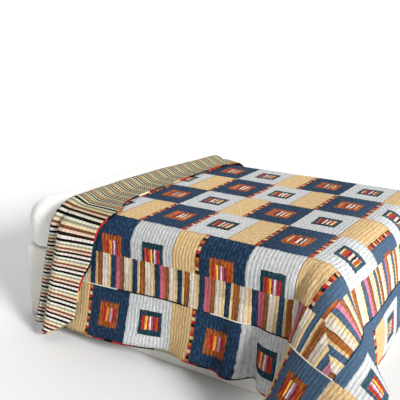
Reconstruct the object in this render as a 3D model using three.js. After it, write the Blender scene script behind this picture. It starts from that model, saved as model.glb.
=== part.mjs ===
// A quilted patchwork bedspread on a plain bed: a divan base, a mattress, the quilt that falls over
// both sides and the foot with its head end folded back, and the binding sewn along its four edges.
// Millimetres, +Z up, +X towards the foot, -Y the near side. The origin is on the floor, under the
// middle of the bed.

import * as THREE from 'three';

// Sizes of the bed and of the clearances between its pieces
const BED_LENGTH = 2000;
const BED_WIDTH = 1500;
const BASE_HEIGHT = 460;
const BASE_INSET = 8;
const BASE_CORNER = 40;
const BASE_EDGE = 12;
const MATTRESS_HEIGHT = 285;
const MATTRESS_TOP_EDGE = 135;
const MATTRESS_FOOT_EDGE = 40;
const SEAT_GAP = 0.3;

// The quilt, laid flat: half its width, and where its foot edge lies from the middle of the bed
const QUILT_THICK = 6;
const QUILT_PUFF = 3;
const SIDE_EDGE = 1348;
const FOOT_EDGE = 1553;
const BINDING_WIDTH = 12;
const BINDING_LIP = 4.4;

// Where the cloth starts to bend over the mattress, the length of that bend, and of the whole fall
const BEND_INSET = 110;
const SIDE_BEND = BED_WIDTH / 2 - BEND_INSET;
const FOOT_BEND = BED_LENGTH / 2 - BEND_INSET;
const BEND_LENGTH = 190;
const FALL_LENGTH = 740;
const TIP_LENGTH = 340;
const TIP_SLOPE = 62;

// Towards the head the near side is drawn down further, by this share of its fall
const HEAD_DRAW = 0.07;
const HEAD_DRAW_RUN = [300, 1000];

// The head end: the radius of its roll, and how it settles on the layer below
const ROLL_RADIUS = 26;
const LAYER_RISE = 16;
const SETTLE_LENGTH = 100;
const NEAR_SAG = 55;
const NEAR_SAG_RUN = [40, 80];
const NEAR_TILT = 0.15;
const HEAD_CORNER_CUT = 150;
const HEAD_CORNER_LENGTH = 250;

// Mesh steps: along the quilt (flap, roll, main length) and across it (drop, bend, top)
const FLAP_STEPS = 14;
const ROLL_STEPS = 8;
const MAIN_STEPS = 66;
const DROP_STEPS = 6;
const BEND_STEPS = 5;
const TOP_STEPS = 6;
const CORNER_STEPS = 5;
const EDGE_STEPS = 6;

const COLOURS = { base: 0xe9e6e0, mattress: 0xf3f1ec, quilt: 0x2b4564, binding: 0xa32a22 };

// A table is read by the names of its columns
const table = (names, rows) =>
  Object.fromEntries(names.map((name, i) => [name, rows.map((row) => row[i])]));

// How the cloth falls, row by row along the edge of the bed: from the head down the near side, round
// the near corner, along the foot, round the far corner and back up the far side. The run is in
// millimetres, and a corner takes CORNER_RUN of it. The heading is the way the cloth goes out in
// plan, with 0 towards +X. The slope below level is reached at the end of the bend, and the hem
// slope at the hem, both in degrees.
const RUN_START = -800;
const CORNER_RUN = 400;
const FALLS = table(['run', 'heading', 'slope', 'hemSlope'], [
  [0, -92, 90, 72],
  [200, -92, 90, 74],
  [450, -92, 91, 72],
  [660, -92, 92, 68],
  [940, -91, 92, 77],
  [1110, -97, 92, 68],
  [1240, -95, 92, 72],
  [1360, -96, 92, 62],
  [1430, -93, 92, 86],
  [1500, -92, 90, 66],
  [1610, -95, 86, 52],
  [1690, -104, 78, 48],
  [1757, -92, 70, 40],
  [1823, -74, 63, 34],
  [1890, -55, 53, 28],
  [1957, -39, 53, 28],
  [2023, -26, 61, 37],
  [2090, -9, 70, 68],
  [2220, -4, 66, 94],
  [2420, 0, 70, 94],
  [2730, 2, 76, 92],
  [3040, 0, 74, 93],
  [3240, 4, 70, 90],
  [3370, 9, 72, 68],
  [3437, 26, 61, 38],
  [3503, 39, 54, 32],
  [3570, 55, 54, 32],
  [3637, 72, 62, 36],
  [3703, 90, 70, 44],
  [3770, 100, 79, 52],
  [3920, 94, 88, 72],
  [4120, 91, 91, 82],
  [4370, 89, 91, 74],
  [4670, 91, 91, 82],
  [4970, 92, 91, 73],
  [5460, 91, 90, 78],
]);

// The folded head end, across the quilt: where its roll lies along the bed, and its free edge
const HEAD_FOLD = table(['across', 'fold', 'free'], [
  [-1400, -765, -520],
  [-1220, -755, -475],
  [-1000, -733, -447],
  [-910, -712, -392],
  [-840, -693, -372],
  [-760, -670, -345],
  [-660, -642, -300],
  [-520, -640, -375],
  [-250, -635, -405],
  [200, -600, -400],
  [550, -545, -385],
  [750, -540, -340],
  [1000, -560, -330],
  [1400, -600, -360],
]);

// How far the flap stands off the quilt where it hangs down the side: in beside the roll, then out in a ridge
const SIDE_RISE = table(['back', 'rise'], [
  [0, 52],
  [30, 36],
  [50, 36],
  [70, 80],
  [90, 86],
  [150, 70],
  [230, 48],
  [300, 34],
]);

const radians = THREE.MathUtils.degToRad;
const { clamp, smoothstep } = THREE.MathUtils;

// A smooth curve through a table's rows: cubic pieces, with each slope taken from the neighbours
function smoothThrough(x, xs, ys) {
  const last = xs.length - 1;
  const rise = (i) => (ys[i + 1] - ys[i]) / (xs[i + 1] - xs[i]);
  const slope = (i) => {
    if (i === 0) return rise(0);
    if (i === last) return rise(last - 1);
    const before = xs[i] - xs[i - 1];
    const after = xs[i + 1] - xs[i];
    return (after * rise(i - 1) + before * rise(i)) / (before + after);
  };
  let i = 0;
  while (i < last - 1 && x > xs[i + 1]) i += 1;
  const span = xs[i + 1] - xs[i];
  const t = clamp((x - xs[i]) / span, 0, 1);
  const value = (1 + 2 * t) * (1 - t) ** 2 * ys[i] + t * t * (3 - 2 * t) * ys[i + 1];
  return value + span * t * (1 - t) * ((1 - t) * slope(i) - t * slope(i + 1));
}

// How far a cloth line goes out and down along an arc that starts at one slope and ends at another
function arcReach(startSlope, endSlope, fullLength, length) {
  const rate = (endSlope - startSlope) / fullLength || 1e-9;
  const slope = startSlope + rate * length;
  return {
    out: (Math.sin(slope) - Math.sin(startSlope)) / rate,
    down: (Math.cos(startSlope) - Math.cos(slope)) / rate,
  };
}

const MATTRESS_TOP = BASE_HEIGHT + SEAT_GAP + MATTRESS_HEIGHT;
const QUILT_LEVEL = MATTRESS_TOP + SEAT_GAP + QUILT_THICK / 2;
const FOOT_MIDDLE_RUN = FOOT_BEND - RUN_START + CORNER_RUN + SIDE_BEND;

// The middle of the cloth at a flat point of the quilt, u along the bed and v across it
function drapedPoint(u, v) {
  const over = Math.max(u - FOOT_BEND, 0);
  const past = Math.max(Math.abs(v) - SIDE_BEND, 0);
  const flatDistance = Math.hypot(over, past);
  const turned = Math.atan2(over, past) / (Math.PI / 2);
  const onSide = past > 0;
  const sideRun = Math.min(u, FOOT_BEND) - RUN_START + CORNER_RUN * turned;
  const halfRun = onSide ? sideRun : FOOT_MIDDLE_RUN - Math.abs(v);
  const run = v > 0 ? 2 * FOOT_MIDDLE_RUN - halfRun : halfRun;
  const heading = radians(smoothThrough(run, FALLS.run, FALLS.heading));
  const slope = radians(smoothThrough(run, FALLS.run, FALLS.slope));
  const hemSlope = radians(smoothThrough(run, FALLS.run, FALLS.hemSlope));
  const distance = flatDistance * (1 + HEAD_DRAW * (1 - smoothstep(run, ...HEAD_DRAW_RUN)));
  const fallRun = FALL_LENGTH - BEND_LENGTH;
  const steps = [
    arcReach(0, slope, BEND_LENGTH, Math.min(distance, BEND_LENGTH)),
    arcReach(slope, hemSlope, fallRun, clamp(distance - BEND_LENGTH, 0, fallRun)),
    arcReach(hemSlope, radians(TIP_SLOPE), TIP_LENGTH, Math.max(distance - FALL_LENGTH, 0)),
  ];
  const out = steps.reduce((sum, step) => sum + step.out, 0);
  const down = steps.reduce((sum, step) => sum + step.down, 0);
  return new THREE.Vector3(
    Math.min(u, FOOT_BEND) + out * Math.cos(heading),
    clamp(v, -SIDE_BEND, SIDE_BEND) + out * Math.sin(heading),
    QUILT_LEVEL - down,
  );
}

// The direction that the quilt's patchwork side faces at a flat point
function drapedNormal(u, v) {
  const along = drapedPoint(u + 1, v).sub(drapedPoint(u - 1, v));
  const across = drapedPoint(u, v + 1).sub(drapedPoint(u, v - 1));
  return along.cross(across).normalize();
}

// The folded head end, at a distance past the fold: round the roll, then back over the quilt
function foldedPoint(past, v) {
  const halfTurn = Math.PI * ROLL_RADIUS;
  const centre = foldStart(v);
  const angle = Math.min(past, halfTurn) / ROLL_RADIUS;
  const back = Math.max(past - halfTurn, 0);
  const u = centre + (back > 0 ? back : -ROLL_RADIUS * Math.sin(angle));
  const rolled = ROLL_RADIUS * (1 - Math.cos(angle));
  const flatRise = rolled + smoothstep(back, 0, SETTLE_LENGTH) * (LAYER_RISE - 2 * ROLL_RADIUS);
  const sideRise = back > 0 ? smoothThrough(back, SIDE_RISE.back, SIDE_RISE.rise) : rolled;
  const onSide = smoothstep(Math.abs(v), SIDE_BEND, SIDE_BEND + BEND_LENGTH);
  const rise = THREE.MathUtils.lerp(flatRise, sideRise, onSide);
  const nearDrop = clamp((-v - SIDE_BEND) / (SIDE_EDGE - SIDE_BEND), 0, 1);
  const sag = (NEAR_SAG * smoothstep(back, ...NEAR_SAG_RUN) + NEAR_TILT * back) * nearDrop;
  return drapedPoint(u, v - sag).addScaledVector(drapedNormal(u, v), rise);
}

const foldStart = (v) => smoothThrough(v, HEAD_FOLD.across, HEAD_FOLD.fold) + ROLL_RADIUS;
const freeLength = (v) => smoothThrough(v, HEAD_FOLD.across, HEAD_FOLD.free) - foldStart(v);

// A flat place across the quilt, drawn in where the head corners are rounded off
function cornerRounded(v, fromHead) {
  const bendEnd = SIDE_BEND + BEND_LENGTH;
  const corner = clamp(1 - fromHead / HEAD_CORNER_LENGTH, 0, 1);
  const hang = Math.max(Math.abs(v) - bendEnd, 0);
  const share = 1 - (HEAD_CORNER_CUT * corner * corner) / (SIDE_EDGE - bendEnd);
  return Math.sign(v) * (Math.min(Math.abs(v), bendEnd) + hang * share);
}

// One column of the quilt, counted from the free edge over the roll to the foot edge
function quiltPoint(column, flatV) {
  const v = cornerRounded(flatV, (freeLength(flatV) * column) / FLAP_STEPS);
  const start = foldStart(v);
  const flapLength = freeLength(v);
  const halfTurn = Math.PI * ROLL_RADIUS;
  if (column < FLAP_STEPS) {
    return foldedPoint(halfTurn + flapLength * (1 - column / FLAP_STEPS), v);
  }
  const onRoll = column - FLAP_STEPS;
  if (onRoll < ROLL_STEPS) return foldedPoint(halfTurn * (1 - onRoll / ROLL_STEPS), v);
  const share = (onRoll - ROLL_STEPS) / MAIN_STEPS;
  return drapedPoint(start + share * (FOOT_EDGE - start), v);
}

// Flat places across the quilt, from the near edge to the far one
function quiltRows() {
  const bendEnd = SIDE_BEND + BEND_LENGTH;
  const bands = [
    [-SIDE_EDGE, -bendEnd, DROP_STEPS],
    [-bendEnd, -SIDE_BEND, BEND_STEPS],
    [-SIDE_BEND, SIDE_BEND, TOP_STEPS],
    [SIDE_BEND, bendEnd, BEND_STEPS],
    [bendEnd, SIDE_EDGE, DROP_STEPS],
  ];
  const rows = [-SIDE_EDGE];
  for (const [from, to, steps] of bands) {
    for (let k = 1; k <= steps; k += 1) rows.push(from + ((to - from) * k) / steps);
  }
  return rows;
}

// The quilt's middle surface as a grid of columns and rows, with its normals and edge directions
function quiltGrid() {
  const rows = quiltRows();
  const columns = FLAP_STEPS + ROLL_STEPS + MAIN_STEPS + 1;
  const points = Array.from({ length: columns }, (_, i) => rows.map((v) => quiltPoint(i, v)));
  const lastColumn = columns - 1;
  const lastRow = rows.length - 1;
  const along = (i, j) =>
    points[Math.min(i + 1, lastColumn)][j].clone().sub(points[Math.max(i - 1, 0)][j]).normalize();
  const across = (i, j) =>
    points[i][Math.min(j + 1, lastRow)].clone().sub(points[i][Math.max(j - 1, 0)]).normalize();
  const normal = (i, j) => along(i, j).cross(across(i, j)).normalize();
  return { points, along, across, normal, lastColumn, lastRow };
}

// A closed mesh from shared points and four-sided faces
function meshOfQuads(points, quads) {
  const geometry = new THREE.BufferGeometry();
  geometry.setAttribute('position', new THREE.Float32BufferAttribute(points.flatMap((p) => p.toArray()), 3));
  geometry.setIndex(quads.flatMap(([a, b, c, d]) => [a, b, c, a, c, d]));
  geometry.computeVertexNormals();
  return geometry;
}

// The quilt: two faces a thickness apart, joined round the rim, with its channels raised as puffs
// between the stitched columns of the patchwork side
function quiltGeometry(grid) {
  const { points, normal, lastColumn, lastRow } = grid;
  const puffAt = (i, j) =>
    i % 2 === 1 && i < lastColumn && j > 0 && j < lastRow ? QUILT_PUFF : 0;
  const face = (heightAt) =>
    points.flatMap((column, i) =>
      column.map((point, j) => point.clone().addScaledVector(normal(i, j), heightAt(i, j))));
  const outer = face((i, j) => QUILT_THICK / 2 + puffAt(i, j));
  const inner = face(() => -QUILT_THICK / 2);
  const at = (i, j) => i * (lastRow + 1) + j;
  const below = (i, j) => outer.length + at(i, j);
  const quads = [];
  for (let i = 0; i < lastColumn; i += 1) {
    for (let j = 0; j < lastRow; j += 1) {
      quads.push([at(i, j), at(i + 1, j), at(i + 1, j + 1), at(i, j + 1)]);
      quads.push([below(i, j), below(i, j + 1), below(i + 1, j + 1), below(i + 1, j)]);
    }
    quads.push([at(i, 0), below(i, 0), below(i + 1, 0), at(i + 1, 0)]);
    quads.push([at(i + 1, lastRow), below(i + 1, lastRow), below(i, lastRow), at(i, lastRow)]);
  }
  for (let j = 0; j < lastRow; j += 1) {
    quads.push([at(0, j + 1), below(0, j + 1), below(0, j), at(0, j)]);
    quads.push([at(lastColumn, j), below(lastColumn, j), below(lastColumn, j + 1), at(lastColumn, j + 1)]);
  }
  return meshOfQuads([...outer, ...inner], quads);
}

// A binding strip along one edge: a section of four corners at each place, outside the quilt's edge.
// A place has the edge point, the way out of the quilt and the way its patchwork side faces.
function bindingGeometry(places) {
  const section = [
    [SEAT_GAP, QUILT_THICK / 2],
    [BINDING_WIDTH, BINDING_LIP / 2],
    [BINDING_WIDTH, -BINDING_LIP / 2],
    [SEAT_GAP, -QUILT_THICK / 2],
  ];
  const points = places.flatMap(({ point, outward, facing }) =>
    section.map(([out, up]) =>
      point.clone().addScaledVector(outward, out).addScaledVector(facing, up)));
  const sides = section.length;
  const quads = [];
  for (let k = 0; k + 1 < places.length; k += 1) {
    for (let s = 0; s < sides; s += 1) {
      const next = (s + 1) % sides;
      const here = k * sides;
      const there = here + sides;
      quads.push([here + next, there + next, there + s, here + s]);
    }
  }
  const end = points.length - sides;
  quads.push([3, 2, 1, 0]);
  quads.push([end, end + 1, end + 2, end + 3]);
  return meshOfQuads(points, quads);
}

// Places along a side edge (a row of the grid) or an end edge (a column), in the order that keeps
// the strip's faces pointing out. A side strip's ends follow the line of the end edges, and an end
// strip runs on past both corners by the binding's width.
function sidePlaces(grid, row) {
  const sign = row === 0 ? -1 : 1;
  const places = grid.points.map((column, i) => {
    const facing = grid.normal(i, row);
    const outward = grid.along(i, row).cross(facing).multiplyScalar(-sign).normalize();
    if (i === 0 || i === grid.lastColumn) {
      const edgeWay = grid.across(i, row).multiplyScalar(sign);
      outward.copy(edgeWay.divideScalar(edgeWay.dot(outward)));
    }
    return { point: column[row], outward, facing };
  });
  return sign < 0 ? places : places.reverse();
}

function endPlaces(grid, columnIndex) {
  const sign = columnIndex === 0 ? -1 : 1;
  const places = grid.points[columnIndex].map((point, j) => {
    const facing = grid.normal(columnIndex, j);
    const outward = grid.across(columnIndex, j).cross(facing).multiplyScalar(sign).normalize();
    return { point, outward, facing };
  });
  const last = places.length - 1;
  const runOn = (place, way) =>
    ({ ...place, point: place.point.clone().addScaledVector(way, BINDING_WIDTH) });
  const first = runOn(places[0], grid.across(columnIndex, 0).negate());
  const final = runOn(places[last], grid.across(columnIndex, last));
  const whole = [first, ...places, final];
  return sign > 0 ? whole : whole.reverse();
}

// One level outline of a padded box: a rectangle with round corners, drawn in by an inset
function levelOutline(halfLength, halfWidth, corner, inset, z) {
  const radius = Math.max(corner - inset, 1);
  const points = [];
  for (let quarter = 0; quarter < 4; quarter += 1) {
    const signX = quarter === 0 || quarter === 3 ? 1 : -1;
    const signY = quarter < 2 ? 1 : -1;
    for (let k = 0; k <= CORNER_STEPS; k += 1) {
      const angle = ((quarter + k / CORNER_STEPS) * Math.PI) / 2;
      points.push(new THREE.Vector3(
        signX * (halfLength - inset - radius) + radius * Math.cos(angle),
        signY * (halfWidth - inset - radius) + radius * Math.sin(angle),
        z,
      ));
    }
  }
  return points;
}

// A box with round edges: outlines stacked from its underside to its top, closed by flat faces
function paddedBox(halfLength, halfWidth, corner, lowZ, highZ, lowEdge, highEdge) {
  const levels = [];
  for (let k = 0; k <= EDGE_STEPS; k += 1) {
    const angle = (k / EDGE_STEPS) * (Math.PI / 2);
    levels.push([lowEdge * (1 - Math.sin(angle)), lowZ + lowEdge * (1 - Math.cos(angle))]);
  }
  for (let k = 0; k <= EDGE_STEPS; k += 1) {
    const angle = (k / EDGE_STEPS) * (Math.PI / 2);
    levels.push([highEdge * (1 - Math.cos(angle)), highZ - highEdge * (1 - Math.sin(angle))]);
  }
  const rings = levels.map(([inset, z]) => levelOutline(halfLength, halfWidth, corner, inset, z));
  const count = rings[0].length;
  const points = rings.flat();
  const quads = [];
  for (let r = 0; r + 1 < rings.length; r += 1) {
    for (let k = 0; k < count; k += 1) {
      const next = (k + 1) % count;
      quads.push([r * count + k, r * count + next, (r + 1) * count + next, (r + 1) * count + k]);
    }
  }
  const geometry = meshOfQuads(points, quads);
  const top = points.length - count;
  const caps = [];
  for (let k = 1; k + 1 < count; k += 1) {
    caps.push(0, k + 1, k);
    caps.push(top, top + k, top + k + 1);
  }
  geometry.setIndex([...geometry.getIndex().array, ...caps]);
  geometry.computeVertexNormals();
  return geometry;
}

function piece(name, geometry, colour, roughness) {
  const material = new THREE.MeshStandardMaterial({ color: colour, roughness, metalness: 0 });
  const mesh = new THREE.Mesh(geometry, material);
  mesh.name = name;
  return mesh;
}

const bed = new THREE.Group();

const baseHalfLength = BED_LENGTH / 2 - BASE_INSET;
const baseHalfWidth = BED_WIDTH / 2 - BASE_INSET;
bed.add(piece(
  'divan_base',
  paddedBox(baseHalfLength, baseHalfWidth, BASE_CORNER, 0, BASE_HEIGHT, BASE_EDGE, BASE_EDGE),
  COLOURS.base,
  0.9,
));
bed.add(piece(
  'mattress',
  paddedBox(
    BED_LENGTH / 2,
    BED_WIDTH / 2,
    MATTRESS_TOP_EDGE,
    BASE_HEIGHT + SEAT_GAP,
    MATTRESS_TOP,
    MATTRESS_FOOT_EDGE,
    MATTRESS_TOP_EDGE,
  ),
  COLOURS.mattress,
  0.9,
));

const grid = quiltGrid();
bed.add(piece('quilt', quiltGeometry(grid), COLOURS.quilt, 0.85));
const bindings = {
  binding_near: sidePlaces(grid, 0),
  binding_far: sidePlaces(grid, grid.lastRow),
  binding_foot: endPlaces(grid, grid.lastColumn),
  binding_head: endPlaces(grid, 0),
};
for (const [name, places] of Object.entries(bindings)) {
  bed.add(piece(name, bindingGeometry(places), COLOURS.binding, 0.8));
}

export default bed;
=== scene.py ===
"""A quilted patchwork bedspread on a plain bed.

The quilt is one padded sheet that falls over both sides and the foot of the mattress. Its head end is
rolled over and folded back, so that the striped reverse shows there. Metres, +Z up, +X towards the
foot of the bed, -Y the near side.
"""

import functools
import math

import bpy
import numpy as np
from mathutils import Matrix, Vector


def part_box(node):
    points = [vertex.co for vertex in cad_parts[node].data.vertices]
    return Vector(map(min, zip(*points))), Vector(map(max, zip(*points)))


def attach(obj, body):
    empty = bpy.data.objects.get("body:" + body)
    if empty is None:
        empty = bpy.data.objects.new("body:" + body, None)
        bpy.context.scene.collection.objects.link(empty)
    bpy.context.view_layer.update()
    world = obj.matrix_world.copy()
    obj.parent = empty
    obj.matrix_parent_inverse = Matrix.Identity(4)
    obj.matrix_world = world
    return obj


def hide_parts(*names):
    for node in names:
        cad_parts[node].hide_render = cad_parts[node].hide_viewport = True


MM = 0.001

# The mattress under the quilt: its levels, its round edges and the mesh that it is padded on
MATTRESS_LOW = 0.4603
MATTRESS_TOP = 0.7453
MATTRESS_UPRIGHT_EDGE = 0.135
MATTRESS_TOP_EDGE = 0.1296
MATTRESS_FOOT_EDGE = 0.04
EDGE_STEPS = 8
FOOT_EDGE_STEPS = 4
UPRIGHT_LEAST = 0.1
LEVEL_REACH = 0.001
MATTRESS_VOXEL = 0.014
SMOOTH_FACTOR = 0.5
SMOOTH_PASSES = 4

# Shallow creases in the mattress's sheet, at its bare head end and down its sides: how deep they go,
# where they start and end, and their waves in radians a metre
HEAD_CREASE = 0.0016
HEAD_CREASE_RUN = (0.70, 0.80)
HEAD_WAVE = (46, 14)
HEAD_WAVE_SWAY = (9, 5)
HEAD_BREAK = 7
HEAD_BREAK_SWAY = (3, 9)
SIDE_CREASE = 0.0014
SIDE_CREASE_RUN = (0.03, 0.12)
SIDE_WAVE = 60
SIDE_WAVE_SWAY = (6, 20)

# The quilt, laid flat: u runs along the bed and v across it, from the middle of the bed
QUILT_THICK = 0.006
QUILT_LEVEL = MATTRESS_TOP + 0.0003 + QUILT_THICK / 2
SIDE_EDGE = 1.348
FOOT_EDGE = 1.553

# Where the cloth starts to bend over the mattress, the length of that bend, and of the whole fall
SIDE_BEND = 0.64
FOOT_BEND = 0.89
BEND_LENGTH = 0.19
FALL_LENGTH = 0.74
TIP_LENGTH = 0.34
TIP_SLOPE = 62.0
RUN_START = -0.8
CORNER_RUN = 0.4
HEAD_DRAW = 0.07
HEAD_DRAW_RUN = (0.3, 1.0)

# The folded head end
ROLL_RADIUS = 0.026
LAYER_RISE = 0.016
SETTLE_LENGTH = 0.10
NEAR_SAG = 0.055
NEAR_SAG_RUN = (0.04, 0.08)
NEAR_TILT = 0.15
HEAD_CORNER_CUT = 0.150
HEAD_CORNER_LENGTH = 0.25

# Quilting: wavy sewn channels across the bed, with four mesh steps to a channel
CHANNEL_PITCH = 0.0205
CHANNEL_STEPS = 4
MAIN_CHANNELS = 100
HEAD_CHANNELS = 24
CHANNEL_WAVE = 0.0018
CHANNEL_WAVE_LENGTH = 0.16
CHANNEL_PUFF = 0.0017
PUFF_POWER = 0.8
PUFF_AT_EDGE = 0.25
EDGE_PRESS = (-0.004, 0.03)
FOLD_PRESS = 0.85
FOLD_REACH = 0.022
DROP_ROWS = 22
BEND_ROWS = 10
TOP_ROWS = 32

# Soft ripples in the cloth, broad ones with finer ones over them, in radians a metre
RIPPLE_LIFT = 0.0012
RIPPLE_LEVEL = 1.6
HANG_RIPPLE = 0.0016
HANG_RUN = (0.1, 0.5)
BROAD_ALONG = (13.0, 4.0, 3.1)
BROAD_ACROSS = (9.0, 3.0, 2.3)
FINE_FIRST = (29.0, -11.0)
FINE_SECOND = (7.0, 23.0)
FINE_SHARE = 0.6

# The sewn-on strips
BINDING_HALF_WIDTH = 0.0068
BINDING_HALF_THICK = 0.0050
BINDING_OFFSET = 0.0020
EDGE_STEP = 0.004
PIPING_HALF_WIDTH = 0.0034
PIPING_HALF_THICK = 0.0030
PIPING_LIFT = 0.0062
EASE_PASSES = 2
STRIP_SIDES = 12
STRIP_ROUND = 0.01
JOIN_REACH = 0.00002
SIDE_PIPING_STEPS = 170
FOOT_PIPING_STEPS = 180
FOOT_BINDING_STEPS = 200

# How the sewn channels show: puckers between the lines, and a shade along each line
PUCKER_LENGTH = 0.025
PUCKERS_A_CHANNEL = 2.3
CHANNEL_RELIEF = 0.22
LINE_REACH = 0.25
LINE_SHADE = 0.28

# Patchwork lines on the flat quilt
BLOCK = 0.255
BLOCK_PERIOD = 0.70
BLOCK_START = 0.5765
ROW_HEIGHT = 0.335
ROW_SHIFT = 1.04 * BLOCK / BLOCK_PERIOD
ROW_SPAN = 2.8
EDGE_ROW_MIDDLE = 0.848
KEY_SIDE = 0.885
KEY_FOOT = 1.09
KEY_DEPTH = 0.185
KEY_PERIOD = 0.29
KEY_START = 0.027
BORDER_MIDDLE = 1.215
FOOT_ROW_MIDDLE = 1.44
FOOT_ROW_START = -0.542
SASH_EDGE = 1.33

# Shares of a run of blocks: where its patches end, and the strip of scraps after a navy block
NAVY_END = 0.364
GREY_START = 0.384
GREY_END = 0.75
TAN_END = 0.968
SCRAPS_MIDDLE = 0.380
SCRAPS_HALF = 0.016
SCRAP_PERIOD = 0.17

# The framed squares: their middles as shares of a run of blocks, the rest in block widths
NAVY_CENTRE = 0.182
GREY_CENTRE = 0.570
FRAME_REACH = 0.262
STRIPS_REACH = 0.19
STRIPS_SQUASH = 1.28
STRIPS_PERIOD = 0.38
STRIPS_START = 0.38
STRIPS_START_SPREAD = 0.24
BROWN_FROM = 0.40
COPPER_FROM = 0.58
STREAK_WIDTH = 0.007
STREAK_LENGTH = 0.07
FRAY = 0.16

# Seams: how far the puckers draw them, how wide they show and how dark they are
SEAM_DRAW = 0.009
SEAM_SHARE = 0.006
SEAM_TONE = 0.5
ROW_SEAM = 0.004
ROW_SEAM_TONE = 0.6

# The tone of the pieced cotton, with painted shade and painted highlight on its puckers, and painted light
# and sheen towards the foot
TONE_LEVEL = 0.41
PUCKER_SHADING = 1.20
DYE_SCALE = 38.0
DYE_TONE = 0.12
PLAIN_STREAKS = 0.14
FRAME_STREAKS = 1.6
PLAIN_BOLTS = 0.10
KEY_BOLTS = 0.30
PUCKER_HIGHLIGHT_FROM = (0.50, 0.75)
PUCKER_HIGHLIGHT_DEPTH = 0.19
FOOT_SHEEN_DEPTH = 0.16
FOOT_LIGHT_RUN = (0.60, 1.10)
FOOT_LIGHT_TONE = 0.06
SHEEN_BLUENESS = 0.02

# The striped reverse: shares of a run of stripes, its dots and ticks, and its tone
STRIPE_PERIOD = 0.082
STRIPE_START = 0.575
DOT_PITCH = 0.010
DOTS_MIDDLE = 0.819
DOTS_HALF = 0.045
TICKS_MIDDLE = 0.440
TICKS_HALF = 0.05
TICK_SHARE = 0.3
DOT_TONE = -0.45
REVERSE_LEVEL = 0.64
REVERSE_DYE_SCALE = 60.0
REVERSE_DYE_TONE = 0.18
REVERSE_PUCKER_SHADING = 0.50
REVERSE_LINE_TONE = 0.5

# How rough the cloths are, how little they shine, and how deep their surfaces look
COTTON_IOR = 1.45
COTTON_ROUGHNESS = 0.9
COTTON_GLOSS = 0.08
COTTON_BUMP = 0.6
PATCH_ROUGHNESS = 0.8
PATCH_GLOSS = 0.10
PATCH_BUMP_SIZE = 0.010
REVERSE_BUMP = 0.7
REVERSE_BUMP_SIZE = 0.006
TAPE_ROUGHNESS = 0.85
TAPE_BUMP_SIZE = 0.001
TAPE_GRAIN = 0.003
TAPE_LEVEL = 0.85
TAPE_DYE_SCALE = 90.0
TAPE_DYE_TONE = 0.3
BINDING_PERIOD = 0.62
HEAD_BINDING_PERIOD = 1.30
PIPING_PERIOD = 1.95
FOOT_PIPING_PERIOD = 2.14
SHEET_THREAD = 0.003
SHEET_ROUGHNESS = 0.85
BASE_THREAD = 0.004
BASE_ROUGHNESS = 0.9
SLUB_THREADS = 12
YARN_LEVEL = 0.95
YARN_TONE = 0.10
CLOTH_BUMP_SIZE = 0.0008

# How the cloth falls along the edge of the bed, from the head down the near side, round the foot and
# back up the far side. Columns: run (mm), then heading in plan, slope after the bend and slope at the
# hem (degrees)
FALLS = np.array([
    (0, -92, 90, 72),
    (200, -92, 90, 74),
    (450, -92, 91, 72),
    (660, -92, 92, 68),
    (940, -91, 92, 77),
    (1110, -97, 92, 68),
    (1240, -95, 92, 72),
    (1360, -96, 92, 62),
    (1430, -93, 92, 86),
    (1500, -92, 90, 66),
    (1610, -95, 86, 52),
    (1690, -104, 78, 48),
    (1757, -92, 70, 40),
    (1823, -74, 63, 34),
    (1890, -55, 53, 28),
    (1957, -39, 53, 28),
    (2023, -26, 61, 37),
    (2090, -9, 70, 68),
    (2220, -4, 66, 94),
    (2420, 0, 70, 94),
    (2730, 2, 76, 92),
    (3040, 0, 74, 93),
    (3240, 4, 70, 90),
    (3370, 9, 72, 68),
    (3437, 26, 61, 38),
    (3503, 39, 54, 32),
    (3570, 55, 54, 32),
    (3637, 72, 62, 36),
    (3703, 90, 70, 44),
    (3770, 100, 79, 52),
    (3920, 94, 88, 72),
    (4120, 91, 91, 82),
    (4370, 89, 91, 74),
    (4670, 91, 91, 82),
    (4970, 92, 91, 73),
    (5460, 91, 90, 78),
], float)

# The folded head end, across the quilt. Columns: across, where the roll lies, where the free edge
# lies (mm)
HEAD_FOLD = np.array([
    (-1400, -765, -520),
    (-1220, -755, -475),
    (-1000, -733, -447),
    (-910, -712, -392),
    (-840, -693, -372),
    (-760, -670, -345),
    (-660, -642, -300),
    (-520, -640, -375),
    (-250, -635, -405),
    (200, -600, -400),
    (550, -545, -385),
    (750, -540, -340),
    (1000, -560, -330),
    (1400, -600, -360),
], float)

# How far the flap stands off the quilt where it hangs down the side. Columns: back from the roll,
# rise (mm)
SIDE_RISE = np.array([
    (0, 52),
    (30, 36),
    (50, 36),
    (70, 80),
    (90, 86),
    (150, 70),
    (230, 48),
    (300, 34),
], float)

# Creases at the near corner, soft troughs drawn into the cloth. Columns: where each starts and ends on
# the flat quilt (along, across, along, across), half its width, how far it is drawn in (mm)
CREASES = np.array([
    (868, -700, 862, -1180, 28, 17),
    (850, -900, 790, -1560, 62, 34),
    (905, -680, 938, -920, 12, 4),
    (838, -690, 822, -900, 13, 4),
    (945, -690, 985, -890, 12, 3),
    (640, -1120, 585, -1480, 30, 7),
], float)
CREASE_ENDS = (0.4, 0.6)

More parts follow.
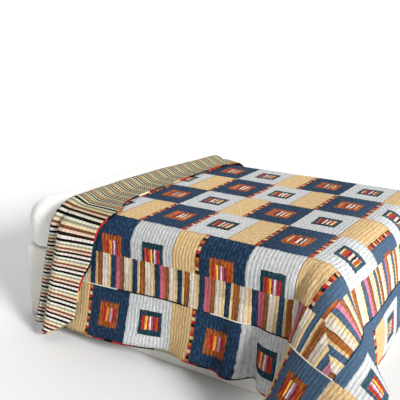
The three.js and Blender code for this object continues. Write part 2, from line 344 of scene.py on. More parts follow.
# Dyed cotton colours, and the colours of the painted sheen, highlight and shade over them
NAVY = "#182e45"
GREY = "#b4b5b5"
TAN = "#c0a273"
BROWN = "#8f4814"
TEAL = "#163038"
RED = "#a2231a"
DARK_RED = "#751418"
ORANGE = "#bf5a1e"
YELLOW = "#dfac3a"
WHITE = "#d8d3cb"
PINK = "#ad5567"
MAROON = "#4a1a22"
RUST = "#9a4a1c"
GINGER = "#8a4f1e"
ECRU = "#c3b8a8"
DARK_RUST = "#532c1f"
BEIGE = "#ccb182"
CREAM = "#d6d0bd"
BLACK = "#0f0e10"
UMBER = "#22150f"
PEACH = "#d6b8a6"
CHALK = "#d8d0c6"
SAGE = "#d0d0c0"
LICHEN = "#989482"
OLIVE = "#78745a"
STRAW = "#d5c4a2"
RUSSET = "#6f4531"
COPPER = "#ab531c"
FOOT_SHEEN_BLUE = "#8fb0cc"
PUCKER_HIGHLIGHT = "#7f9cb8"
TOP_SHADE_TINT = "#d3d5c3"
SHEET_WHITE = "#ecebe8"
BASE_WHITE = "#e6e3dd"

# The camera
CAMERA_PLACE = (1.9266, -3.2121, 1.8421)
CAMERA_TURN = 33.514
CAMERA_TILT = 16.745
CAMERA_SENSOR = 36
CAMERA_LENS = 58.02

# The studio: its cove, the sky and the light from beyond the foot
COVE_FLAT = 8.0
COVE_RADIUS = 4.0
COVE_HEIGHT = 16.0
COVE_REACH = 22.0
COVE_STEPS = 25
SKY_LOW = -0.12
SKY_RISE = 0.92
SKY_TOWARD = (0.35, 0.60, 0.72)
HAZE = 0.85
HAZE_TOP = (0.03, 0.15)
SUN_STRENGTH = 4.3
SUN_SPREAD = 15
SUN_TOWARD = (0.885, -0.26, 0.385)
SUN_PLACE = (4, -1, 3.5)
EXPOSURE = 0.1
PAPER = "#e2e2e2"
PAPER_ROUGHNESS = 0.9


def smoothstep(x, low, high):
    """A smooth rise from 0 to 1 between two values."""
    t = np.clip((x - low) / (high - low), 0, 1)
    return t * t * (3 - 2 * t)


def smooth_through(x, rows, column):
    """A smooth curve through a table's rows, in metres along and as the table has it up."""
    xs = rows[:, 0] * MM
    ys = rows[:, column]
    slopes = np.gradient(ys, xs)
    i = np.clip(np.searchsorted(xs, x) - 1, 0, len(xs) - 2)
    span = xs[i + 1] - xs[i]
    t = np.clip((x - xs[i]) / span, 0, 1)
    value = (1 + 2 * t) * (1 - t) ** 2 * ys[i] + t * t * (3 - 2 * t) * ys[i + 1]
    return value + span * t * (1 - t) * ((1 - t) * slopes[i] - t * slopes[i + 1])


def arc_reach(start, end, full, length):
    """How far out and down an arc goes that starts at one slope and would end at another."""
    rate = (end - start) / full
    rate = np.where(np.abs(rate) < 1e-6, 1e-6, rate)
    slope = start + rate * length
    return (np.sin(slope) - np.sin(start)) / rate, (np.cos(start) - np.cos(slope)) / rate


def draped(u, v):
    """The middle of the cloth at flat places of the quilt."""
    over = np.maximum(u - FOOT_BEND, 0)
    past = np.maximum(np.abs(v) - SIDE_BEND, 0)
    turned = np.arctan2(over, past) / (math.pi / 2)
    side_run = np.minimum(u, FOOT_BEND) - RUN_START + CORNER_RUN * turned
    middle_run = FOOT_BEND - RUN_START + CORNER_RUN + SIDE_BEND
    half_run = np.where(past > 0, side_run, middle_run - np.abs(v))
    run = np.where(v > 0, 2 * middle_run - half_run, half_run)
    heading = np.radians(smooth_through(run, FALLS, 1))
    slope = np.radians(smooth_through(run, FALLS, 2))
    hem_slope = np.radians(smooth_through(run, FALLS, 3))
    distance = np.hypot(over, past) * (1 + HEAD_DRAW * (1 - smoothstep(run, *HEAD_DRAW_RUN)))
    fall = FALL_LENGTH - BEND_LENGTH
    reaches = [
        arc_reach(np.zeros_like(slope), slope, BEND_LENGTH, np.minimum(distance, BEND_LENGTH)),
        arc_reach(slope, hem_slope, fall, np.clip(distance - BEND_LENGTH, 0, fall)),
        arc_reach(hem_slope, math.radians(TIP_SLOPE), TIP_LENGTH, np.maximum(distance - FALL_LENGTH, 0)),
    ]
    out = sum(reach[0] for reach in reaches)
    down = sum(reach[1] for reach in reaches)
    x = np.minimum(u, FOOT_BEND) + out * np.cos(heading)
    y = np.clip(v, -SIDE_BEND, SIDE_BEND) + out * np.sin(heading)
    return np.stack([x, y, QUILT_LEVEL - down], -1)


def unit(vectors):
    """Vectors of the same directions, one long."""
    return vectors / np.linalg.norm(vectors, axis=-1, keepdims=True)


def normal_of(surface, u, v, step=0.001):
    """Which way the patchwork side of a surface faces at flat places."""
    along = surface(u + step, v) - surface(u - step, v)
    across = surface(u, v + step) - surface(u, v - step)
    return unit(np.cross(along, across))


def fold_start(v):
    return smooth_through(v, HEAD_FOLD, 1) * MM + ROLL_RADIUS


def flap_length(v):
    return smooth_through(v, HEAD_FOLD, 2) * MM - fold_start(v)


def head_edge(v):
    """Where the quilt's head edge lies on the flat quilt, past the roll and the flap."""
    return fold_start(v) - math.pi * ROLL_RADIUS - flap_length(v)


def folded(past, v):
    """The folded head end at a distance past the fold: round the roll, then back over the quilt."""
    half_turn = math.pi * ROLL_RADIUS
    angle = np.clip(past, 0, half_turn) / ROLL_RADIUS
    back = np.maximum(past - half_turn, 0)
    u = fold_start(v) + np.where(back > 0, back, -ROLL_RADIUS * np.sin(angle))
    rolled = ROLL_RADIUS * (1 - np.cos(angle))
    flat_rise = rolled + smoothstep(back, 0, SETTLE_LENGTH) * (LAYER_RISE - 2 * ROLL_RADIUS)
    side_rise = np.where(back > 0, smooth_through(back, SIDE_RISE, 1) * MM, rolled)
    on_side = smoothstep(np.abs(v), SIDE_BEND, SIDE_BEND + BEND_LENGTH)
    rise = flat_rise + (side_rise - flat_rise) * on_side
    near_drop = np.clip((-v - SIDE_BEND) / (SIDE_EDGE - SIDE_BEND), 0, 1)
    sag = (NEAR_SAG * smoothstep(back, *NEAR_SAG_RUN) + NEAR_TILT * back) * near_drop
    return draped(u, v - sag) + normal_of(draped, u, v) * rise[..., None]


def cloth(u, v):
    """The middle of the cloth at flat places, on the quilt's main length or past its fold."""
    past = fold_start(v) - u
    return np.where((past > 0)[..., None], folded(np.maximum(past, 0), v), draped(u, v))


def quilt_rows():
    bend_end = SIDE_BEND + BEND_LENGTH
    bands = [
        np.linspace(-SIDE_EDGE, -bend_end, DROP_ROWS, endpoint=False),
        np.linspace(-bend_end, -SIDE_BEND, BEND_ROWS, endpoint=False),
        np.linspace(-SIDE_BEND, SIDE_BEND, TOP_ROWS, endpoint=False),
        np.linspace(SIDE_BEND, bend_end, BEND_ROWS, endpoint=False),
        np.linspace(bend_end, SIDE_EDGE, DROP_ROWS + 1),
    ]
    return np.concatenate(bands)


def side_edge(from_head):
    """Half the quilt's width at a distance from its head edge, less where its corner is rounded."""
    corner = np.clip(1 - from_head / HEAD_CORNER_LENGTH, 0, 1)
    return SIDE_EDGE - HEAD_CORNER_CUT * corner * corner


def quilt_net():
    """Flat places, channel numbers and surface points of the quilt, from its head edge to its foot."""
    main_columns = MAIN_CHANNELS * CHANNEL_STEPS
    columns = (MAIN_CHANNELS + HEAD_CHANNELS) * CHANNEL_STEPS
    number = np.arange(columns, -1, -1, dtype=float)[:, None]
    v = quilt_rows()[None, :] + 0 * number
    join = FOOT_EDGE - MAIN_CHANNELS * CHANNEL_PITCH
    share = (number - main_columns) / (columns - main_columns)
    bend_end = SIDE_BEND + BEND_LENGTH
    edge = side_edge(np.clip(1 - share, 0, 1) * (join - head_edge(-SIDE_EDGE)))
    hang = np.maximum(np.abs(v) - bend_end, 0) * (edge - bend_end) / (SIDE_EDGE - bend_end)
    v = np.sign(v) * (np.minimum(np.abs(v), bend_end) + hang)
    main_u = FOOT_EDGE - number / CHANNEL_STEPS * CHANNEL_PITCH
    u = np.where(share > 0, join + (head_edge(v) - join) * share, main_u)
    ends = np.minimum(number, columns - number) / (2 * CHANNEL_STEPS)
    u = u + CHANNEL_WAVE * np.clip(ends, 0, 1) * np.sin(2 * math.pi * v / CHANNEL_WAVE_LENGTH)
    channel = number / CHANNEL_STEPS + 0 * v
    return u, v, channel


def surface_normals(points):
    return unit(np.cross(np.gradient(points, axis=0), np.gradient(points, axis=1)))


def crease_depth(u, v):
    """How far in the creases draw the cloth at flat places of the quilt."""
    depth = np.zeros_like(u)
    for start_u, start_v, end_u, end_v, half_width, drawn in CREASES * MM:
        length = math.hypot(end_u - start_u, end_v - start_v)
        along_u = (end_u - start_u) / length
        along_v = (end_v - start_v) / length
        share = ((u - start_u) * along_u + (v - start_v) * along_v) / length
        aside = (u - start_u) * along_v - (v - start_v) * along_u
        ends = smoothstep(share, 0, CREASE_ENDS[0]) * (1 - smoothstep(share, CREASE_ENDS[1], 1))
        depth = depth + drawn * ends * np.exp(-(aside / half_width) ** 2)
    return depth


def fold_share(u, v):
    """How near flat places lie to the sharp folds beside the foot corners, from 0 to 1."""
    beside = smoothstep(np.abs(v), SIDE_BEND, SIDE_BEND + BEND_LENGTH / 2)
    return beside * np.exp(-((u - FOOT_BEND) / FOLD_REACH) ** 2)


def creased(u, v):
    """The middle of the cloth with its creases drawn in, without its channels."""
    return cloth(u, v) - normal_of(draped, u, v) * crease_depth(u, v)[..., None]


def ripples(u, v):
    """Soft uneven waves in the cloth, broad ones with finer ones over them."""
    broad = np.sin(BROAD_ALONG[0] * u + BROAD_ALONG[1] * np.sin(BROAD_ALONG[2] * v))
    broad = broad * np.sin(BROAD_ACROSS[0] * v + BROAD_ACROSS[1] * np.sin(BROAD_ACROSS[2] * u))
    fine = np.sin(FINE_FIRST[0] * u + FINE_FIRST[1] * v)
    fine = fine * np.sin(FINE_SECOND[0] * u + FINE_SECOND[1] * v)
    return broad + FINE_SHARE * fine


def quilt_points(u, v, channel):
    """The drape with its sewn channels puffed up, its soft ripples and its creases."""
    points = cloth(u, v)
    from_ends = np.minimum(FOOT_EDGE - u, u - head_edge(v))
    from_edge = np.minimum(side_edge(u - head_edge(v)) - np.abs(v), from_ends)
    pressed = PUFF_AT_EDGE + (1 - PUFF_AT_EDGE) * smoothstep(from_edge, *EDGE_PRESS)
    past = np.clip(fold_start(v) - u, 0, math.pi * ROLL_RADIUS)
    shown_side = np.cos(past / ROLL_RADIUS)
    puff = CHANNEL_PUFF * np.abs(np.sin(math.pi * channel)) ** PUFF_POWER * shown_side * pressed
    fallen = np.hypot(np.maximum(u - FOOT_BEND, 0), np.maximum(np.abs(v) - SIDE_BEND, 0))
    hung = smoothstep(fallen, *HANG_RUN)
    ripple = ripples(u, v)
    lift = RIPPLE_LIFT * (RIPPLE_LEVEL + ripple) * shown_side + HANG_RIPPLE * hung * ripple
    raised = (puff + lift) * (1 - FOLD_PRESS * fold_share(u, v)) - crease_depth(u, v)
    return points + surface_normals(points) * raised[..., None]


def start_piece(name):
    """Names the primitive that was just added."""
    piece = bpy.context.object
    piece.name = name
    piece.data.name = name
    return piece


def only(piece):
    """Selects one piece and makes it active."""
    bpy.ops.object.select_all(action="DESELECT")
    piece.select_set(True)
    bpy.context.view_layer.objects.active = piece


def apply_modifier(piece, kind, **settings):
    only(piece)
    modifier = piece.modifiers.new(kind.lower(), kind)
    for key, value in settings.items():
        setattr(modifier, key, value)
    bpy.ops.object.modifier_apply(modifier=modifier.name)


def grid_piece(name, points, maps):
    """A grid primitive moved to a net of points, with its flat places as UV maps."""
    columns, rows = points.shape[0] - 1, points.shape[1] - 1
    bpy.ops.object.select_all(action="DESELECT")
    bpy.ops.mesh.primitive_grid_add(x_subdivisions=columns, y_subdivisions=rows, size=2)
    piece = start_piece(name)
    mesh = piece.data
    places = np.empty(len(mesh.vertices) * 3)
    mesh.vertices.foreach_get("co", places)
    places = (places.reshape(-1, 3)[:, :2] + 1) / 2
    i = np.rint(places[:, 0] * columns).astype(int)
    j = np.rint(places[:, 1] * rows).astype(int)
    mesh.vertices.foreach_set("co", points[i, j].ravel())
    corners = np.empty(len(mesh.loops), int)
    mesh.loops.foreach_get("vertex_index", corners)
    while mesh.uv_layers:
        mesh.uv_layers.remove(mesh.uv_layers[0])
    for map_name, (across, up) in maps.items():
        layer = mesh.uv_layers.new(name=map_name)
        values = np.stack([across[i, j], up[i, j]], -1)[corners]
        layer.data.foreach_set("uv", values.ravel())
    mesh.update()
    return piece


def sewn_strip(name, centres, sideways, facing, half_width, half_thick):
    """A closed strip with a round section along a line, with its length in its UV map."""
    around = np.linspace(0, 2 * math.pi, STRIP_SIDES + 1)
    width = half_width * np.cos(around)
    thick = half_thick * np.sin(around)
    points = centres[:, None] + sideways[:, None] * width[None, :, None]
    points = points + facing[:, None] * thick[None, :, None]
    steps = np.linalg.norm(np.diff(centres, axis=0), axis=1)
    length = np.concatenate([[0.0], np.cumsum(steps)])[:, None] + 0 * around[None, :]
    piece = grid_piece(name, points, {"length": (length, 0 * length + around[None, :] * STRIP_ROUND)})
    only(piece)
    bpy.ops.object.mode_set(mode="EDIT")
    bpy.ops.mesh.select_all(action="SELECT")
    bpy.ops.mesh.remove_doubles(threshold=JOIN_REACH)
    bpy.ops.mesh.fill_holes(sides=0)
    bpy.ops.mesh.select_all(action="SELECT")
    bpy.ops.mesh.normals_make_consistent(inside=False)
    bpy.ops.object.mode_set(mode="OBJECT")
    bpy.ops.object.shade_smooth()
    return piece


def edge_strip(name, u, v, outward_flat):
    """A binding strip along flat places on the quilt's edge, folded over it."""
    points = creased(u, v)
    inside = creased(u - outward_flat[0] * EDGE_STEP, v - outward_flat[1] * EDGE_STEP)
    along = unit(np.gradient(points, axis=0))
    outward = points - inside
    outward = unit(outward - along * np.sum(outward * along, axis=1, keepdims=True))
    facing = np.cross(outward, along)
    centres = points + outward * BINDING_OFFSET
    return sewn_strip(name, centres, outward, facing, BINDING_HALF_WIDTH, BINDING_HALF_THICK)


def seam_piping(name, u, v):
    """Piping sewn into a seam of the patchwork side, eased round the sharp folds."""
    facing = normal_of(creased, u, v, PIPING_HALF_WIDTH)
    lift = PIPING_LIFT * (1 - FOLD_PRESS / 2 * fold_share(u, v))
    centres = creased(u, v) + facing * lift[:, None]
    for _ in range(EASE_PASSES):
        centres[1:-1] = (centres[:-2] + 2 * centres[1:-1] + centres[2:]) / 4
    along = unit(np.gradient(centres, axis=0))
    sideways = unit(np.cross(facing, along))
    upward = np.cross(along, sideways)
    return sewn_strip(name, centres, sideways, upward, PIPING_HALF_WIDTH, PIPING_HALF_THICK)


def round_edges(piece, wanted, radius, segments):
    """Bevels the edges whose two ends the test picks out."""
    only(piece)
    mesh = piece.data
    bpy.ops.object.mode_set(mode="EDIT")
    bpy.ops.mesh.select_mode(type="EDGE")
    bpy.ops.mesh.select_all(action="DESELECT")
    bpy.ops.object.mode_set(mode="OBJECT")
    for edge in mesh.edges:
        ends = [mesh.vertices[k].co for k in edge.vertices]
        edge.select = wanted(ends)
    bpy.ops.object.mode_set(mode="EDIT")
    bpy.ops.mesh.bevel(offset=radius, segments=segments, affect="EDGES")
    bpy.ops.object.mode_set(mode="OBJECT")


def padded_mattress():
    """The mattress in its fitted sheet: a box with round edges, drawn into shallow creases."""
    low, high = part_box("mattress")
    bpy.ops.object.select_all(action="DESELECT")
    centre = ((low + high) / 2)[:]
    bpy.ops.mesh.primitive_cube_add(size=1, location=centre, scale=(high - low)[:])
    piece = start_piece("mattress_in_sheet")
    bpy.ops.object.transform_apply(location=True, rotation=True, scale=True)

    def upright(ends):
        return abs(ends[0].z - ends[1].z) > UPRIGHT_LEAST

    def at_top(ends):
        return min(end.z for end in ends) > MATTRESS_TOP - LEVEL_REACH

    def at_foot(ends):
        return max(end.z for end in ends) < MATTRESS_LOW + LEVEL_REACH

    round_edges(piece, upright, MATTRESS_UPRIGHT_EDGE, EDGE_STEPS)
    round_edges(piece, at_top, MATTRESS_TOP_EDGE, EDGE_STEPS)
    round_edges(piece, at_foot, MATTRESS_FOOT_EDGE, FOOT_EDGE_STEPS)
    apply_modifier(piece, "REMESH", mode="VOXEL", voxel_size=MATTRESS_VOXEL)
    apply_modifier(piece, "SMOOTH", factor=SMOOTH_FACTOR, iterations=SMOOTH_PASSES)
    mesh = piece.data
    places = np.empty(len(mesh.vertices) * 3)
    mesh.vertices.foreach_get("co", places)
    places = places.reshape(-1, 3)
    normals = np.empty(len(mesh.vertices) * 3)
    mesh.vertices.foreach_get("normal", normals)
    x, y, z = places.T
    wave = HEAD_WAVE[0] * x + HEAD_WAVE[1] * y + HEAD_WAVE_SWAY[0] * np.sin(HEAD_WAVE_SWAY[1] * y)
    breaks = HEAD_BREAK * y + HEAD_BREAK_SWAY[0] * np.sin(HEAD_BREAK_SWAY[1] * x)
    at_head = smoothstep(-x, *HEAD_CREASE_RUN) * (1 - np.sin(wave) * np.sin(breaks))
    side_wave = SIDE_WAVE * (x + y) + SIDE_WAVE_SWAY[0] * np.sin(SIDE_WAVE_SWAY[1] * z)
    at_sides = smoothstep(MATTRESS_TOP - z, *SIDE_CREASE_RUN) * (1 + np.sin(side_wave))
    depth = HEAD_CREASE * at_head + SIDE_CREASE * at_sides
    places = places - normals.reshape(-1, 3) * depth[:, None]
    mesh.vertices.foreach_set("co", places.ravel())
    mesh.update()
    only(piece)
    bpy.ops.object.shade_smooth()
    return piece


def linear(colour):
    """An sRGB hex colour as linear red, green, blue and alpha."""
    parts = [int(colour[k:k + 2], 16) / 255 for k in (1, 3, 5)]
    return [p / 12.92 if p <= 0.04045 else ((p + 0.055) / 1.055) ** 2.4 for p in parts] + [1.0]


def new_material(name):
    """An empty material, and what adds a node to it."""
    material = bpy.data.materials.new(name)
    material.use_nodes = True
    material.node_tree.nodes.clear()
    return material, functools.partial(add_node, material.node_tree)


def add_node(tree, kind, inputs=None, stops=None, **settings):
    """Adds a node with its settings, its linked or set inputs, and a colour ramp's stops.

    A mix node's inputs 2 and 3 are its two numbers, and 6 and 7 its two colours.
    """
    node = tree.nodes.new("ShaderNode" + kind)
    for key, value in settings.items():
        setattr(node, key, value)
    for key, value in (inputs or {}).items():
        source = value.outputs[0] if isinstance(value, bpy.types.Node) else value
        if isinstance(source, bpy.types.NodeSocket):
            tree.links.new(source, node.inputs[key])
        else:
            node.inputs[key].default_value = source
    if stops:
        ramp = node.color_ramp
        ramp.interpolation = "CONSTANT"
        while len(ramp.elements) < len(stops):
            ramp.elements.new(1.0)
        for element, (place, colour) in zip(ramp.elements, stops):
            element.position = place
        for element, (place, colour) in zip(ramp.elements, stops):
            element.color = linear(colour) if isinstance(colour, str) else colour
    return node


def weighted_stops(parts):
    """Stops for lengths of colour, given as shares of the whole."""
    whole = sum(share for share, colour in parts)
    stops = []
    reached = 0.0
    for share, colour in parts:
        stops.append((reached / whole, colour))
        reached += share
    return stops


def finish_cotton(add, colour, height, bump_size, roughness=COTTON_ROUGHNESS, gloss=COTTON_GLOSS,
                  bump=COTTON_BUMP):
    """Dull dyed cotton: hardly any shine, and an uneven surface that breaks up the light."""
    normal = add("Bump", {"Height": height, "Strength": bump, "Distance": bump_size})
    surface = add("BsdfPrincipled", {
        "Base Color": colour,
        "Roughness": roughness,
        "IOR": COTTON_IOR,
        "Specular IOR Level": gloss,
        "Normal": normal,
    })
    add("OutputMaterial", {"Surface": surface})


def sewn_channels(add):
    """Washed quilting: the puckers between the sewn lines, the cloth's height, and its shade at a line.

    The puckers are drawn coarser than real ones, which are too fine to show at this distance.
    """
    sewing = add("UVMap", uv_map="quilting")
    sewn = add("SeparateXYZ", {0: sewing})
    from_line = add("Math", {0: sewn.outputs[0], 1: 0.5}, operation="PINGPONG")
    stretched = add("Mapping", {"Vector": sewing, "Scale": (PUCKERS_A_CHANNEL, 1 / PUCKER_LENGTH, 1.0)})
    puckers = add("TexNoise", {
        "Vector": stretched, "Scale": 1.0, "Detail": 3.0, "Roughness": 0.7}).outputs[0]
    height = add("Math", {0: from_line, 1: CHANNEL_RELIEF, 2: puckers}, operation="MULTIPLY_ADD")
    line_shade = add("MapRange", {0: from_line, 1: 0.0, 2: LINE_REACH, 3: -LINE_SHADE, 4: 0.0})
    return puckers, height, line_shade


def patchwork_cotton():
    """Pieced quilting cotton: matt dyed patches, each of its own bolt, puckered by the sewn channels.

    The streaks in the frames are drawn coarser than real threads, which are too fine to show.
    """
    material, add = new_material("pieced_quilting_cotton")
    flat = add("UVMap", uv_map="flat")

    # The puckers draw each seam a little out of line
    pull = add("TexNoise", {"Vector": flat, "Scale": 1 / PUCKER_LENGTH, "Detail": 1.0})
    pull = add("VectorMath", {0: pull.outputs["Color"], 1: (0.5, 0.5, 0.5)}, operation="SUBTRACT")
    drawn = add("VectorMath", {
        0: pull, 1: (SEAM_DRAW, SEAM_DRAW, 0.0), 2: flat}, operation="MULTIPLY_ADD")
    place = add("SeparateXYZ", {0: drawn})
    u, v = place.outputs[0], place.outputs[1]

    # How far a place lies past the inner line of the key border, in border widths, at the side and foot
    side = add("Math", {0: v}, operation="ABSOLUTE")
    past_side = add("Math", {
        0: side, 1: 1 / KEY_DEPTH, 2: -KEY_SIDE / KEY_DEPTH}, operation="MULTIPLY_ADD")
    past_foot = add("Math", {0: u, 1: 1 / KEY_DEPTH, 2: -KEY_FOOT / KEY_DEPTH}, operation="MULTIPLY_ADD")
    border = add("Math", {0: past_side, 1: past_foot}, operation="MAXIMUM")
    corner = add("Math", {0: past_side, 1: past_foot}, operation="MINIMUM")
    at_foot = add("Math", {0: past_foot, 1: past_side}, operation="GREATER_THAN")
    foot_row = add("Math", {0: past_foot, 1: 1.0}, operation="GREATER_THAN")
    in_corner = add("Math", {0: corner, 1: 1.0}, operation="GREATER_THAN")
    after_field = add("Math", {0: border, 1: 0.0}, operation="GREATER_THAN")
    before_outer = add("Math", {0: border, 1: 1.0}, operation="LESS_THAN")
    in_keys = add("Math", {0: after_field, 1: before_outer}, operation="MULTIPLY")

    # Each row of blocks: red holds how far its blocks are set along, green where its middle lies
    rows = [
        (-ROW_SPAN / 2, ROW_SHIFT, -BORDER_MIDDLE),
        (-KEY_SIDE - KEY_DEPTH / 2, ROW_SHIFT, -EDGE_ROW_MIDDLE),
        (-2 * ROW_HEIGHT, 0.0, -1.5 * ROW_HEIGHT),
        (-ROW_HEIGHT, ROW_SHIFT, -0.5 * ROW_HEIGHT),
        (0.0, 0.0, 0.5 * ROW_HEIGHT),
        (ROW_HEIGHT, ROW_SHIFT, 1.5 * ROW_HEIGHT),
        (2 * ROW_HEIGHT, 0.0, EDGE_ROW_MIDDLE),
        (KEY_SIDE + KEY_DEPTH / 2, ROW_SHIFT, BORDER_MIDDLE),
    ]
    row_stops = []
    for start, shift, lies_at in rows:
        row_stops.append((start / ROW_SPAN + 0.5, (shift, lies_at / ROW_SPAN + 0.5, 0.0, 1.0)))
    row_place = add("Math", {0: v, 1: 1 / ROW_SPAN, 2: 0.5}, operation="MULTIPLY_ADD")
    row = add("ValToRGB", {0: row_place}, stops=row_stops)
    row = add("SeparateColor", {0: row})
    set_along, row_middle = row.outputs[0], row.outputs[1]

    # Where a place lies along the run of blocks (0 to 1) and across its row (in block widths)
    run = add("Math", {
        0: u, 1: 1 / BLOCK_PERIOD, 2: -BLOCK_START / BLOCK_PERIOD}, operation="MULTIPLY_ADD")
    run = add("Math", {0: run, 1: set_along}, operation="ADD")
    foot_run = add("Math", {
        0: v, 1: -1 / BLOCK_PERIOD, 2: FOOT_ROW_START / BLOCK_PERIOD}, operation="MULTIPLY_ADD")
    whole_run = add("Mix", {0: foot_row, 2: run, 3: foot_run}, data_type="FLOAT")
    along = add("Math", {0: whole_run}, operation="FRACT")
    block_number = add("Math", {0: whole_run}, operation="FLOOR")
    middle = add("Math", {
        0: row_middle, 1: -ROW_SPAN / BLOCK, 2: ROW_SPAN / 2 / BLOCK}, operation="MULTIPLY_ADD")
    row_across = add("Math", {0: v, 1: 1 / BLOCK, 2: middle}, operation="MULTIPLY_ADD")
    foot_across = add("Math", {0: u, 1: 1 / BLOCK, 2: -FOOT_ROW_MIDDLE / BLOCK}, operation="MULTIPLY_ADD")
    across = add("Mix", {0: foot_row, 2: row_across, 3: foot_across}, data_type="FLOAT")

    # The blocks: navy, pale grey, tan, and narrow strips pieced from scraps between them
    blocks = add("ValToRGB", {0: along}, stops=[
        (0.0, NAVY), (NAVY_END, GREY), (GREY_END, TAN), (TAN_END, RED)])
    scrap_place = add("Math", {0: across, 1: BLOCK / SCRAP_PERIOD}, operation="MULTIPLY")
    scrap_place = add("Math", {0: scrap_place}, operation="FRACT")
    cottons = [RED, GINGER, ORANGE, BLACK, RED, BEIGE, DARK_RED, ORANGE, UMBER, TAN]
    scraps = add("ValToRGB", {0: scrap_place}, stops=weighted_stops([(1, cotton) for cotton in cottons]))
    end_strip = add("Math", {0: along, 1: TAN_END}, operation="GREATER_THAN")
    strip_after = add("Math", {0: along, 1: SCRAPS_MIDDLE, 2: SCRAPS_HALF}, operation="COMPARE")
    plain_row = add("Math", {0: set_along, 1: ROW_SHIFT / 2}, operation="LESS_THAN")
    strip_after = add("Math", {0: strip_after, 1: plain_row}, operation="MULTIPLY")
    along_side = add("Math", {0: 1.0, 1: foot_row}, operation="SUBTRACT")
    strip_after = add("Math", {0: strip_after, 1: along_side}, operation="MULTIPLY")
    in_strip = add("Math", {0: end_strip, 1: strip_after}, operation="MAXIMUM")
    colour = add("Mix", {0: in_strip, 6: blocks, 7: scraps}, data_type="RGBA").outputs[2]

    # A framed square in each navy and each grey block, its middle pieced from narrow strips,
    # bright ones along the sides and duller ones on top.
    # The brown frames have streaks woven in, which leave their ends ragged
    centre = add("ValToRGB", {0: along}, stops=[
        (0.0, (NAVY_CENTRE, NAVY_CENTRE, NAVY_CENTRE, 1.0)),
        (GREY_START, (GREY_CENTRE, GREY_CENTRE, GREY_CENTRE, 1.0))])
    centre = add("SeparateColor", {0: centre})
    aside = add("Math", {0: along, 1: centre.outputs[0]}, operation="SUBTRACT")
    aside = add("Math", {0: aside, 1: BLOCK_PERIOD / BLOCK}, operation="MULTIPLY")
    reach_along = add("Math", {0: aside}, operation="ABSOLUTE")
    reach_across = add("Math", {0: across}, operation="ABSOLUTE")
    threads = add("Mapping", {"Vector": flat, "Scale": (1 / STREAK_WIDTH, 1 / STREAK_LENGTH, 1.0)})
    streaks = add("TexNoise", {"Vector": threads, "Scale": 1.0, "Detail": 2.0, "Roughness": 0.6})
    streak_tone = add("Math", {0: streaks, 1: 0.5}, operation="SUBTRACT")
    in_grey = add("Math", {0: along, 1: GREY_START}, operation="GREATER_THAN")
    fray = add("Math", {0: in_grey, 1: -FRAY, 2: FRAY}, operation="MULTIPLY_ADD")
    ragged = add("Math", {0: streak_tone, 1: fray, 2: reach_across}, operation="MULTIPLY_ADD")
    reach = add("Math", {0: reach_along, 1: ragged}, operation="MAXIMUM")
    in_frame = add("Math", {0: reach, 1: FRAME_REACH}, operation="LESS_THAN")
    strip_reach = add("Math", {0: reach_across, 1: STRIPS_SQUASH}, operation="MULTIPLY")
    strip_reach = add("Math", {0: reach_along, 1: strip_reach}, operation="MAXIMUM")
    in_middle = add("Math", {0: strip_reach, 1: STRIPS_REACH}, operation="LESS_THAN")
    brown_threads = add("ValToRGB", {0: streaks}, stops=[
        (0.0, DARK_RUST), (BROWN_FROM, BROWN), (COPPER_FROM, COPPER)])
    frames = add("Mix", {0: in_grey, 6: brown_threads, 7: linear(TEAL)}, data_type="RGBA").outputs[2]
    square_place = add("CombineXYZ", {0: block_number, 1: row_middle, 2: centre.outputs[0]})
    square_start = add("TexWhiteNoise", {"Vector": square_place}, noise_dimensions="3D")
    square_start = add("Math", {
        0: square_start, 1: STRIPS_START_SPREAD, 2: STRIPS_START}, operation="MULTIPLY_ADD")
    strip_place = add("Math", {0: aside, 1: 1 / STRIPS_PERIOD, 2: square_start}, operation="MULTIPLY_ADD")
    strip_place = add("Math", {0: strip_place}, operation="FRACT")
    brights = add("ValToRGB", {0: strip_place}, stops=weighted_stops([
        (30, RED), (9, ORANGE), (17, YELLOW), (8, MAROON), (14, PINK),
        (9, WHITE), (18, PINK), (10, MAROON), (18, RED), (11, RUST)]))
    dulls = add("ValToRGB", {0: strip_place}, stops=weighted_stops([
        (20, GINGER), (25, RED), (18, MAROON), (26, PEACH),
        (20, BLACK), (12, WHITE), (30, RUST), (24, TAN)]))
    on_top = add("Math", {0: side, 1: 2 * ROW_HEIGHT}, operation="LESS_THAN")
    strips = add("Mix", {0: on_top, 6: brights, 7: dulls}, data_type="RGBA").outputs[2]

    # The sash between the foot keys and the foot row
    near_keys = add("Math", {0: u, 1: SASH_EDGE}, operation="LESS_THAN")
    in_sash = add("Math", {0: near_keys, 1: foot_row}, operation="MULTIPLY")

    # The key border: strips at right angles to the edge, mitred at the corners, with thin black lengths at
    # some seams as a painted shadow line
    key_run = add("Mix", {0: at_foot, 2: u, 3: v}, data_type="FLOAT")
    key_run = add("Math", {
        0: key_run, 1: 1 / KEY_PERIOD, 2: -KEY_START / KEY_PERIOD}, operation="MULTIPLY_ADD")
    key_place = add("Math", {0: key_run}, operation="FRACT")
    keys = add("ValToRGB", {0: key_place}, stops=weighted_stops([
        (48, NAVY), (4, BLACK), (52, PINK), (42, GINGER), (6, BLACK), (58, ECRU), (38, BEIGE),
        (57, NAVY), (28, BEIGE), (57, GINGER), (6, BLACK), (60, ECRU), (42, BEIGE), (5, BLACK)]))

    # The squares, the sash, the plain corner and the keys lie over the blocks
    layers = [
        (in_frame, frames),
        (in_middle, strips),
        (in_sash, linear(NAVY)),
        (in_corner, linear(TAN)),
        (in_keys, keys),
    ]
    for where, cotton in layers:
        colour = add("Mix", {0: where, 6: colour, 7: cotton}, data_type="RGBA").outputs[2]

